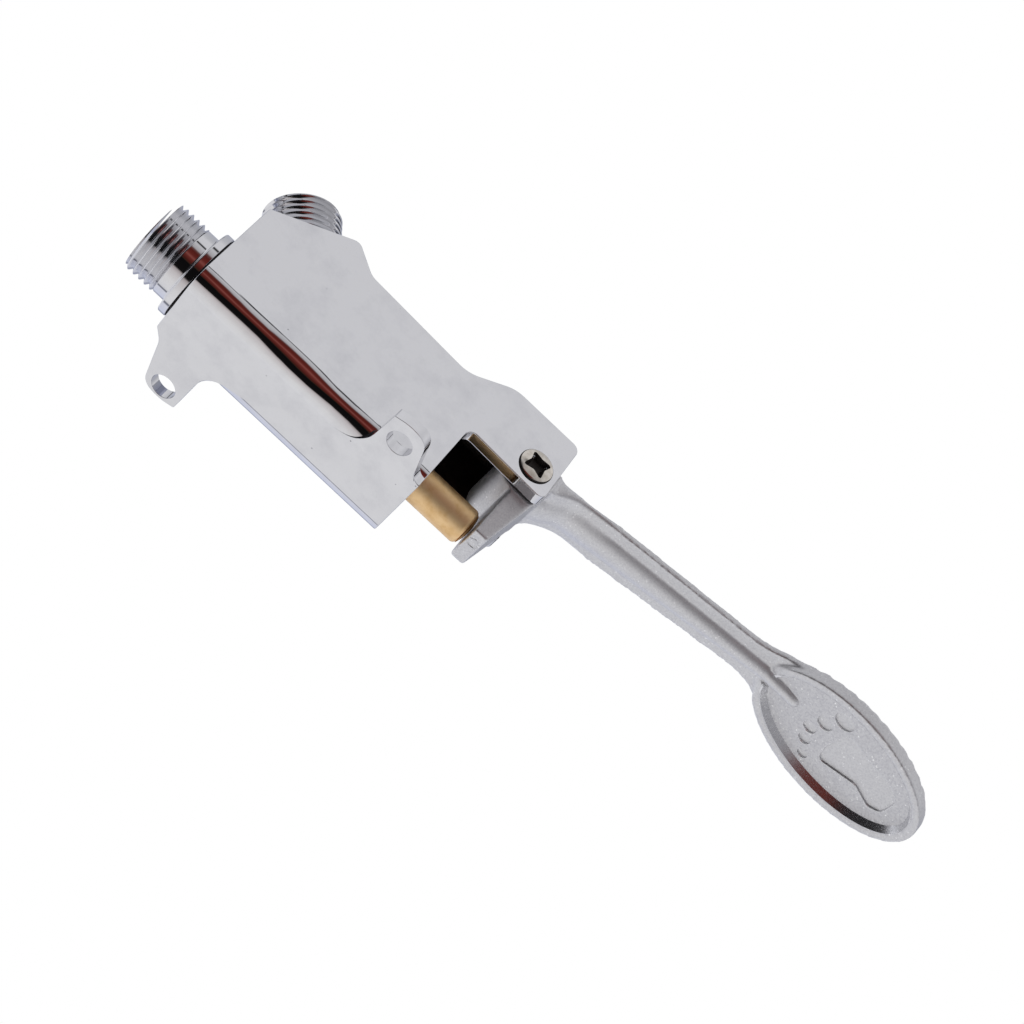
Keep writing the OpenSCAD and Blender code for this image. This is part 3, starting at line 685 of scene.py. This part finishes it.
screw = {"head": 4.9, "height": 0.5, "dome": 0.8, "shank": 3.0, "length": 27.4, "starTip": 5.45,
         "starWaist": 2.7, "starDeep": 1.9, "starTaper": 0.6, "starTurn": 42}


def makeScrew():
    s = screw
    top = s["height"] + s["dome"]
    cap = (s["head"] ** 2 + s["dome"] ** 2) / (2 * s["dome"])
    rows = [s["head"] * k / 8 for k in range(7, -1, -1)]
    dome = [(r, top - cap + math.sqrt(cap ** 2 - r ** 2), 0) for r in rows]
    profile = [(0, -s["length"], 0), (s["shank"], -s["length"], 0.5), (s["shank"], 0, 0),
               (s["head"], 0, 0.15), (s["head"], s["height"], 0.45)] + dome
    ob = latheSolid("pivotScrew", roundOutline(profile, 5))
    corners = []
    for k in range(8):
        angle = math.radians(s["starTurn"] + 45 * k)
        reach, bend = (s["starTip"], 0.6) if k % 2 == 0 else (s["starWaist"], 1.5)
        corners.append((reach * math.cos(angle), reach * math.sin(angle), bend))
    star = outlineSolid("star", roundOutline(corners, 4), "xy", top - s["starDeep"], s["starDeep"] + 1)
    for vertex in star.data.vertices:
        if vertex.co.z < (top - 0.5) * mm:
            vertex.co.x *= s["starTaper"]
            vertex.co.y *= s["starTaper"]
    smooth(cutAway(ob, star), 35)
    floor = (top - s["starDeep"] + 0.05) * mm
    recess = {face.index for face in ob.data.polygons
              if face.center.length < s["starTip"] * mm and abs(face.normal.z) < 0.9 and face.center.z > 0
              or face.normal.z > 0.9 and face.center.z < floor}
    putAt(ob, (pivot[0], -body["width"] / 2, pivot[2]), (0, -1, 0))
    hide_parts("pivot_screw")
    dress(ob, nickel, "valve")
    # the cross recess gets painted shade, dark and dull
    refinish(ob, hollowShade, lambda face: face.index in recess)


coil = {"turns": 6, "endTurns": 0.75, "radius": 5.6, "wire": 0.55, "endRise": 1.6, "steps": 32, "sides": 10,
        "travel": 4.39}


def makeSpring():
    low, high = (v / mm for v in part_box("return_spring"))
    length = high.x - low.x
    flat = coil["endTurns"]
    rise = length - 2 * coil["wire"] - 2 * flat * coil["endRise"]

    def wire(u, v):
        t = coil["turns"] * u
        x = low.x + coil["wire"] + min(t, flat) * coil["endRise"]
        x += max(0, t - coil["turns"] + flat) * coil["endRise"]
        x += rise * min(1, max(0, (t - flat) / (coil["turns"] - 2 * flat)))
        radius = coil["radius"] + coil["wire"] * math.cos(2 * math.pi * v)
        angle = 2 * math.pi * t
        return (x + coil["wire"] * math.sin(2 * math.pi * v), radius * math.cos(angle),
                body["axis"] + radius * math.sin(angle))

    ob = smooth(closedSheet("returnSpring", coil["turns"] * coil["steps"], coil["sides"], wire))
    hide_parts("return_spring")
    dress(ob, steel, "valve")
    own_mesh(ob)


makePlunger()
makeScrew()
makeSpring()
print("plunger, screw and spring made")


# Pedal lever: barrel, tongue, flange, rib and pad, drawn about the pivot and softened together as a casting

lever = {"hub": 7.3, "hubWidth": 18.4, "sleeve": 4.57, "tongueX": -1.0, "tongueThick": 4.2,
         "tongueWidth": 12.8, "tipDrop": 23.2, "heelX": 7.6, "heelZ": 2, "heelRise": 36, "armTop": 8.5,
         "armStart": 7.2, "armLength": 82.3, "armRise": 7.9, "armHub": 16.8, "armPad": 13, "flange": 2.2,
         "ribDeep": 2.2, "ribHub": 9.2, "ribPad": 4.4, "ribRun": 12.6, "noseProud": 0.9, "padLength": 57.9,
         "padWidth": 34.6, "padThick": 4.3, "recess": 2.1, "rim": 2.7, "padFall": 7, "padLap": 1.5,
         "gate": 5.6, "ramp": 4.2, "draft": 1.4, "signDeep": 0.5, "lining": 0.4, "ridgePitch": 3.9,
         "ridge": 0.45, "voxel": 0.34, "soften": 12, "bendReach": 14, "bendSoften": 110, "flashReach": 0.6,
         "flashHeight": 0.45, "flashGrain": 0.7, "markAt": -2.2, "mark": 1.7, "markWide": 0.35}
armTilt = math.tan(math.radians(lever["armRise"]))
heelTilt = math.tan(math.radians(lever["heelRise"]))
padTilt = math.radians(lever["padFall"])
padTop = lever["armTop"] + (lever["armLength"] - lever["armStart"]) * armTilt
padWeb = lever["padThick"] - lever["recess"]


def topLine(x):
    return lever["armTop"] + (x - lever["armStart"]) * armTilt


def underLine(x):
    return topLine(x) - lever["flange"]


def padLine(x):
    return padTop - (x - lever["armLength"]) * math.tan(padTilt)


bendX = (underLine(0) - lever["heelZ"] + lever["heelX"] * heelTilt) / (heelTilt - armTilt)


def atPad(x, y, z):
    # a point of the pad's own frame: middle of the pad, rim face at height 0
    x += lever["padLength"] / 2 - lever["padLap"]
    return (lever["armLength"] + x * math.cos(padTilt) + z * math.sin(padTilt), y,
            padTop - lever["padThick"] - x * math.sin(padTilt) + z * math.cos(padTilt))


def toPad(ob):
    for vertex in ob.data.vertices:
        vertex.co = Vector(atPad(*(vertex.co / mm))) * mm
    return ob


def makeTongue():
    w, tipBack = lever["hubWidth"], lever["tongueX"] + lever["tongueThick"]
    rise = (lever["tipDrop"] - lever["hub"]) / (lever["tipDrop"] + lever["heelZ"])
    points = roundOutline([
        (lever["tongueX"], -lever["hub"], 0), (lever["tongueX"], -lever["tipDrop"], 0.6),
        (tipBack, -lever["tipDrop"], 0.6), (tipBack + (lever["heelX"] - tipBack) * rise, -lever["hub"], 0),
        (lever["heelX"], lever["heelZ"], 0), (lever["heelX"], lever["armTop"], 0), (0, 6, 0),
        (lever["tongueX"], 0, 0)])
    ob = outlineSolid("tongue", points, "xz", -w / 2, w)
    editAll(ob, lambda: bpy.ops.mesh.bisect(plane_co=(0, 0, -lever["hub"] * mm), plane_no=(0, 0, 1)))
    for vertex in ob.data.vertices:
        share = min(1, max(0, (vertex.co.z / mm + lever["tipDrop"]) / (lever["tipDrop"] - lever["hub"])))
        vertex.co.y *= (lever["tongueWidth"] + (w - lever["tongueWidth"]) * share) / w
    return ob


def makeFlange():
    root, end, neck = lever["armStart"] - 1, lever["armLength"] + 6, lever["armLength"] - 4
    half, halfPad = lever["armHub"] / 2, lever["armPad"] / 2
    band = roundOutline([
        (root, topLine(root), 0), (lever["armLength"], padTop, 6), (end, padLine(end), 0),
        (end, padLine(end) - padWeb, 0), (lever["armLength"], padTop - lever["flange"], 6),
        (bendX, underLine(bendX), 16), (root, lever["heelZ"] - (lever["heelX"] - root) * heelTilt, 0)])
    plan = roundOutline([(root, half, 0), (neck, halfPad, 24), (end, halfPad + 5, 0), (end, -halfPad - 5, 0),
                         (neck, -halfPad, 24), (root, -half, 0)])
    ob = outlineSolid("flange", band, "xz", -20, 40)
    return combine(ob, outlineSolid("plan", plan, "xy", -20, 60), "INTERSECT")


def ribRadius(width):
    return (width ** 2 / 4 + lever["ribDeep"] ** 2) / (2 * lever["ribDeep"])


def ribCone(name, start, lean, length, radiusStart, radiusEnd):
    # a cone whose low line starts at that point and leans up along the arm
    ob = addShape(name, bpy.ops.mesh.primitive_cone_add, vertices=96, radius1=radiusStart * mm,
                  radius2=radiusEnd * mm, depth=length * mm)
    for vertex in ob.data.vertices:
        vertex.co.z += length / 2 * mm
    return putAt(ob, start, (math.cos(lean), 0, math.sin(lean)))


def makeRib():
    large, small = ribRadius(lever["ribHub"]), ribRadius(lever["ribPad"])
    end = lever["armLength"] + lever["ribRun"]
    taper = (large - small) / (lever["armLength"] - bendX)
    lean = math.atan(armTilt - taper)
    heel, arm = math.radians(lever["heelRise"]), math.radians(lever["armRise"])
    mitre = (heel + arm) / 2
    deep = lever["ribDeep"] / math.cos((heel - arm) / 2)
    jointX, jointZ = bendX + deep * math.sin(mitre), underLine(bendX) - deep * math.cos(mitre)
    reach = lever["armLength"] - jointX
    nose = large - taper * reach
    ob = ribCone("rib", (jointX, 0, jointZ + large), lean, reach / math.cos(lean), large, nose)
    # past the arm's end the nose sinks towards the recess floor and ends blunt
    fall = lever["ribDeep"] + lever["flange"] - padWeb - lever["noseProud"]
    sink = math.atan(fall / lever["ribRun"] - math.tan(padTilt))
    noseAt = (lever["armLength"] - 0.05, 0, padTop - lever["flange"] - lever["ribDeep"] + nose)
    blunt = 0.8 * lever["ribRun"] / math.cos(sink)
    combine(ob, ribCone("nose", noseAt, sink, blunt, nose, nose), "UNION")
    ball = [(nose * math.sin(math.pi * k / 16), -nose * math.cos(math.pi * k / 16)) for k in range(17)]
    noseEnd = Vector(noseAt) + blunt * Vector((math.cos(sink), 0, math.sin(sink)))
    combine(ob, latheSolid("noseEnd", ball, noseEnd), "UNION")
    axisX, axisZ = jointX - large * math.sin(heel), jointZ + large * math.cos(heel)
    down = 16
    combine(ob, ribCone("heelRib", (axisX - down * math.cos(heel), 0, axisZ - down * math.sin(heel)), heel,
                        down + large * math.sin(mitre), large, large), "UNION")
    under = [(0, 0), (lever["heelX"], -lever["ribDeep"]), (end, -lever["ribDeep"]),
             (end, padLine(end) - padWeb / 2), (lever["armLength"], padTop - padWeb / 2),
             (lever["armStart"], topLine(lever["armStart"]) - lever["flange"] / 2), (0, underLine(0))]
    return combine(ob, outlineSolid("under", under, "xz", -20, 40), "INTERSECT")


def makePad():
    halfL, halfW, thick = lever["padLength"] / 2, lever["padWidth"] / 2, lever["padThick"]
    ob = outlineSolid("pad", ellipsePoints(halfL, halfW, 160), "xy", 0, thick + 2)
    count = math.floor((lever["padLength"] - 8) / lever["ridgePitch"])
    tread, steps = count * lever["ridgePitch"], 8
    ridges = [(-tread / 2 + i * lever["ridgePitch"] / steps,
               thick + lever["ridge"] * abs(math.sin(math.pi * i / steps)))
              for i in range(count * steps + 1)]
    profile = [(-halfL - 5, 0), (-halfL - 5, thick)] + ridges + [(halfL + 5, thick), (halfL + 5, 0)]
    combine(ob, outlineSolid("tread", profile, "xz", -30, 60), "INTERSECT")
    cutAway(ob, recessSolid("recess", -1, lever["recess"] + lever["signDeep"], lever["lining"] - 0.1))
    return toPad(openMouth(ob))


def openMouth(ob):
    # the rim opens where the arm comes in, and ramps up to the arm's underside
    halfL, gate, deep = lever["padLength"] / 2, lever["gate"] / 2, lever["recess"] - 0.05
    mouth = [(-halfL - 1, -gate), (0, -gate), (0, gate), (-halfL - 1, gate)]
    ramp = [(-halfL - 1, -1), (-halfL + lever["ramp"], -1), (-halfL + lever["ramp"], 0), (-halfL, deep),
            (-halfL - 1, deep)]
    return cutAway(ob, outlineSolid("mouth", mouth, "xy", -1, deep + 1),
                   outlineSolid("ramp", ramp, "xz", -30, 60))


def recessSolid(name, low, high, spare):
    # the recess narrows towards its floor
    halfL = lever["padLength"] / 2 - lever["rim"] + spare
    halfW = lever["padWidth"] / 2 - lever["rim"] + spare
    ob = outlineSolid(name, ellipsePoints(halfL, halfW, 160), "xy", low, high - low)
    for vertex in ob.data.vertices:
        inset = lever["draft"] * vertex.co.z / mm / lever["recess"]
        vertex.co.x *= 1 - inset / halfL
        vertex.co.y *= 1 - inset / halfW
    return ob


def flash(x, y, z):
    # how near a point is to the rough lines that the mould left: the flange's edges and the far rib root
    share = (x - lever["armStart"]) / (lever["armLength"] - lever["armStart"])
    if not 0.1 < share < 0.9:
        return 0
    half = (lever["armHub"] + (lever["armPad"] - lever["armHub"]) * share) / 2
    root = (lever["ribHub"] + (lever["ribPad"] - lever["ribHub"]) * share) / 2
    drop = z - underLine(x)
    away = min(math.hypot(abs(y) - half, drop), math.hypot(y - root, drop))
    return max(0, 1 - away / lever["flashReach"])


def makeLever():
    w = lever["hubWidth"]
    ob = rodSolid("pedalLever", lever["hub"], w, (0, w / 2, 0), (0, -1, 0), 96)
    for part in (makeTongue(), makeFlange(), makeRib(), makePad()):
        combine(ob, part, "UNION")
    cutAway(ob, rodSolid("sleeveHole", lever["sleeve"], 60, (0, 30, 0), (0, -1, 0)))
    # an even skin, softened as a casting, most of all where the rib bends
    useModifier(ob, "REMESH", mode="VOXEL", voxel_size=lever["voxel"] * mm, adaptivity=0)
    bend = ob.vertex_groups.new(name="bend")
    for vertex in ob.data.vertices:
        away = math.hypot(vertex.co.x / mm - bendX, vertex.co.z / mm - underLine(bendX) + lever["ribDeep"])
        if away < lever["bendReach"] and vertex.co.x / mm > lever["heelX"] + 1:
            bend.add([vertex.index], min(1, 1.6 * (1 - away / lever["bendReach"])), "REPLACE")
    useModifier(ob, "SMOOTH", factor=0.5, iterations=lever["bendSoften"], vertex_group="bend")
    useModifier(ob, "SMOOTH", factor=0.5, iterations=lever["soften"])
    normals = [vertex.normal.copy() for vertex in ob.data.vertices]
    for vertex, normal in zip(ob.data.vertices, normals):
        near = flash(*(vertex.co / mm))
        if near:
            rough = noise.noise(vertex.co / mm / lever["flashGrain"])
            vertex.co += normal * near * lever["flashHeight"] * mm * rough
        vertex.co += Vector(pivot) * mm
    join(ob, ejectorMark())
    bpy.ops.object.shade_smooth()
    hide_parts("pedal_lever")
    dress(ob, satin, "pedal")


def ejectorMark():
    # ragged ring that the mould's ejector pin left on the tongue's end
    outer, inner = lever["mark"], lever["mark"] - lever["markWide"]
    middle = Vector((lever["tongueX"] + lever["tongueThick"] / 2, lever["markAt"], -lever["tipDrop"]))
    ring = [(inner, -0.2), (outer, -0.2), (outer, 0.06), (inner, 0.06)]
    ob = latheSolid("mark", ring, Vector(pivot) + middle, (0, 0, -1), 40)
    for vertex in ob.data.vertices:
        vertex.co += noise.noise_vector(vertex.co / mm / 0.8) * 0.16 * mm
    return ob


# Recess lining: polished wall and blasted floor, with the foot sign of five toes and a sole sunk in it

# a toe is its middle and half sizes, a corner of the sole its place and radius
footSign = {"toes": [(-5.3, -9.0, 3.1, 2.6), (-8.0, -3.4, 2.5, 2.1), (-9.5, 1.7, 2.1, 1.8),
                     (-7.9, 6.0, 1.9, 1.6), (-5.0, 10.2, 1.6, 1.4)],
            "sole": [(-2.4, -7.4, 3), (-3.0, 2, 6), (-1.7, 7.4, 1.8), (9.8, 3.5, 3), (16.2, 5.4, 2),
                     (19.6, 3.4, 2.5), (19.8, -4.0, 4), (14, -6.4, 6), (7, -6.2, 10)],
            "draft": 0.3, "edge": 0.12}


def sunk(name, points):
    # a cut that narrows towards its floor, which is the lever's own skin
    low, deep = lever["recess"] - 0.2, lever["signDeep"] + 0.6
    ob = outlineSolid(name, points, "xy", low, deep)
    middle = sum((vertex.co for vertex in ob.data.vertices), Vector()) / len(ob.data.vertices)
    for vertex in ob.data.vertices:
        away = Vector((vertex.co.x - middle.x, vertex.co.y - middle.y, 0))
        if vertex.co.z > middle.z:
            vertex.co -= away.normalized() * footSign["draft"] * mm
    return ob


def makeRecessLining():
    floor, wall = lever["recess"] - 0.05, lever["lining"]
    halfL, halfW = lever["padLength"] / 2 - lever["rim"], lever["padWidth"] / 2 - lever["rim"]
    ob = outlineSolid("recessLining", ellipsePoints(halfL + wall, halfW + wall, 160), "xy", 0.1,
                      floor + lever["signDeep"])
    cutAway(ob, recessSolid("hollow", -1, floor, 0))
    openMouth(ob)
    cutAway(ob, sunk("sole", roundOutline(footSign["sole"], 6)))
    for x, y, along, wide in footSign["toes"]:
        cutAway(ob, sunk("toe", [(x + a, y + b) for a, b in ellipsePoints(along, wide, 40)]))

    def onSign(p):
        return 1 if abs(p.z - floor) < 0.1 and math.hypot(p.x / halfL, p.y / halfW) < 0.9 else 0

    bevelEdges(ob, footSign["edge"], 2, onSign)
    walls = {face.index for face in ob.data.polygons if abs(face.normal.z) < 0.95}
    toPad(ob)
    for vertex in ob.data.vertices:
        vertex.co += Vector(pivot) * mm
    evenNormals(ob, 30)
    dress(ob, blasted, "pedal")
    refinish(ob, wallPlate, lambda face: face.index in walls)


makeLever()
makeRecessLining()
print("lever made")


# Inner pieces keep their CAD shape and get their finish

finishes = {rubber: ("nipple_o_ring", "bush_o_ring", "plunger_o_rings", "seal_washer"),
            brass: ("spring_seat", "stem_nut", "washer_cup", "guide_bush", "pivot_bush"),
            steel: ("lock_washer", "bush_retaining_ring")}
for material, names in finishes.items():
    for name in names:
        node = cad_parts[name]
        node.data.materials.clear()
        node.data.materials.append(material)
print("inner pieces dressed")


# Stage: floor that shows from above only, soft light, and the photographed view

view = {"place": (13.635, -474.683, -422.657), "right": (0.7267, -0.5084, 0.462),
        "ahead": (0.0698, 0.7237, 0.6866), "lens": 91.005}


def makeCamera():
    data = bpy.data.cameras.new("camera")
    data.lens = view["lens"]
    data.sensor_width = 36
    data.clip_start = 0.01
    ob = bpy.data.objects.new("camera", data)
    bpy.context.scene.collection.objects.link(ob)
    right = Vector(view["right"]).normalized()
    back = -Vector(view["ahead"]).normalized()
    up = back.cross(right).normalized()
    turn = Matrix((right, up, back)).transposed().to_4x4()
    ob.matrix_world = Matrix.Translation(Vector(view["place"]) * mm) @ turn
    bpy.context.scene.camera = ob


def makeFloor():
    ob = addShape("floor", bpy.ops.mesh.primitive_plane_add, size=6, location=(0, 0, -0.3 * mm))
    material = bpy.data.materials.new("pale_floor")
    tree = emptyTree(material)
    path = addNode(tree, "ShaderNodeLightPath")
    side = addNode(tree, "ShaderNodeNewGeometry")
    front = addNode(tree, "ShaderNodeMath", {"operation": "SUBTRACT", 0: 1.0},
                    {1: side.outputs["Backfacing"]})
    # a path that came up through the floor goes down through it again
    above = addNode(tree, "ShaderNodeMath", {"operation": "LESS_THAN", 1: 0.5},
                    {0: path.outputs["Transparent Depth"]})
    shown = addNode(tree, "ShaderNodeMath", {"operation": "MULTIPLY"},
                    {0: front.outputs["Value"], 1: above.outputs["Value"]})
    clear = addNode(tree, "ShaderNodeBsdfTransparent")
    pale = addNode(tree, "ShaderNodeBsdfDiffuse", {"Color": linear("#f2f2f2")})
    mix = addNode(tree, "ShaderNodeMixShader", {},
                  {"Fac": shown.outputs["Value"], 1: clear.outputs["BSDF"], 2: pale.outputs["BSDF"]})
    addNode(tree, "ShaderNodeOutputMaterial", links={"Surface": mix.outputs["Shader"]})
    ob.data.materials.append(material)


# the room's colours by angle about X: 0 is towards the camera, and plus is upward
room = {
    "middle": {
        -180: "#a2a6b8", -160: "#a8acbe", -148: "#dfe4f6", -111: "#f0f2fc", -107: "#868893", -103: "#868893",
        -100: "#eeeeef", -92: "#f6f6f7", -62: "#f2f1f0", -34: "#dcd6d5", -25: "#b8afad", -22: "#141313",
        7: "#100f10", 9: "#3b2a20", 12: "#4a1d18", 22: "#70302a", 27: "#8f5048", 33: "#6c2c26", 44: "#5c231d",
        50: "#6a4a46", 54: "#b9b6b8", 71: "#d6d6d8", 74.5: "#2a2a2c", 77.5: "#2a2a2c", 80.5: "#e6e6e8",
        102: "#e8e8ea", 116: "#d2d3d6", 150: "#c2c4cc", 166: "#b0b3c2", 180: "#a2a6b8"},
    "inletEnd": {
        -180: "#c4c8dc", -166: "#eef0f8", -92: "#f0f0f2", -40: "#e8e8ea", -22: "#1c1c1e", 36: "#2a2a2c",
        62: "#6a6a6e", 75: "#d8d8da", 88: "#ececee", 131: "#d0d1d5", 136: "#55565a", 141: "#55565a",
        147: "#c8cad0", 180: "#c4c8dc"},
    "pedalEnd": {
        -180: "#4a4b52", -172: "#4a4b52", -162: "#d5d8e4", -92: "#f0f0f2", -40: "#e8e8ea", -15: "#b4b4b8",
        40: "#9c9ca0", 75: "#d8d8da", 110: "#ececee", 152: "#c0c1c6", 180: "#b4b8c8"}}


def makeWorld():
    # white room, dark and red towards the camera, as the chrome in the photograph shows
    world = bpy.data.worlds.new("studio")
    bpy.context.scene.world = world
    tree = emptyTree(world)
    path = addNode(tree, "ShaderNodeLightPath")
    way = addNode(tree, "ShaderNodeTexCoord").outputs["Generated"]
    toCamera = Vector((0, view["place"][1], view["place"][2])).normalized()
    towards = addNode(tree, "ShaderNodeVectorMath", {"operation": "DOT_PRODUCT", 1: toCamera}, {0: way})
    upward = Vector((0, toCamera.z, -toCamera.y))
    across = addNode(tree, "ShaderNodeVectorMath", {"operation": "DOT_PRODUCT", 1: upward}, {0: way})
    angle = addNode(tree, "ShaderNodeMath", {"operation": "ARCTAN2"},
                    {0: across.outputs["Value"], 1: towards.outputs["Value"]})
    share = addNode(tree, "ShaderNodeMapRange", {"From Min": -math.pi, "From Max": math.pi},
                    {"Value": angle.outputs["Value"]})
    part = {}
    for name, colours in room.items():
        stops = [(0.5 + degrees / 360, colour) for degrees, colour in colours.items()]
        part[name] = rampNode(tree, share.outputs["Result"], stops).outputs["Color"]
    sideways = addNode(tree, "ShaderNodeSeparateXYZ", {}, {"Vector": way})
    offside = addNode(tree, "ShaderNodeMath", {"operation": "ABSOLUTE"}, {0: sideways.outputs["X"]})
    toEnds = addNode(tree, "ShaderNodeMapRange", {"From Min": 0.2, "From Max": 0.34},
                     {"Value": offside.outputs["Value"]})
    ahead = addNode(tree, "ShaderNodeMath", {"operation": "GREATER_THAN", 1: 0.0}, {0: sideways.outputs["X"]})
    ends = addNode(tree, "ShaderNodeMix", {"data_type": "RGBA"},
                   {"Factor": ahead.outputs["Value"], 6: part["inletEnd"], 7: part["pedalEnd"]})
    whole = addNode(tree, "ShaderNodeMix", {"data_type": "RGBA"},
                    {"Factor": toEnds.outputs["Result"], 6: part["middle"], 7: ends.outputs[2]})
    straight = addNode(tree, "ShaderNodeMix", {"data_type": "RGBA", 7: linear("#ffffff")},
                       {"Factor": path.outputs["Is Camera Ray"], 6: whole.outputs[2]})
    background = addNode(tree, "ShaderNodeBackground", {"Strength": 1.0}, {"Color": straight.outputs[2]})
    addNode(tree, "ShaderNodeOutputWorld", links={"Surface": background.outputs["Background"]})


lamp = {"place": (0.3, 0.3, 1.2), "size": 0.8, "power": 6}


def makeLamp():
    data = bpy.data.lights.new("softTop", "AREA")
    data.size = lamp["size"]
    data.energy = lamp["power"]
    ob = bpy.data.objects.new("softTop", data)
    bpy.context.scene.collection.objects.link(ob)
    ob.location = lamp["place"]
    ob.rotation_euler = Vector(lamp["place"]).to_track_quat("Z", "Y").to_euler()
    ob.visible_glossy = False  # no white spots at the threads' edges


makeCamera()
makeFloor()
makeWorld()
makeLamp()
bpy.context.scene.view_settings.view_transform = "Standard"
print("stage made")
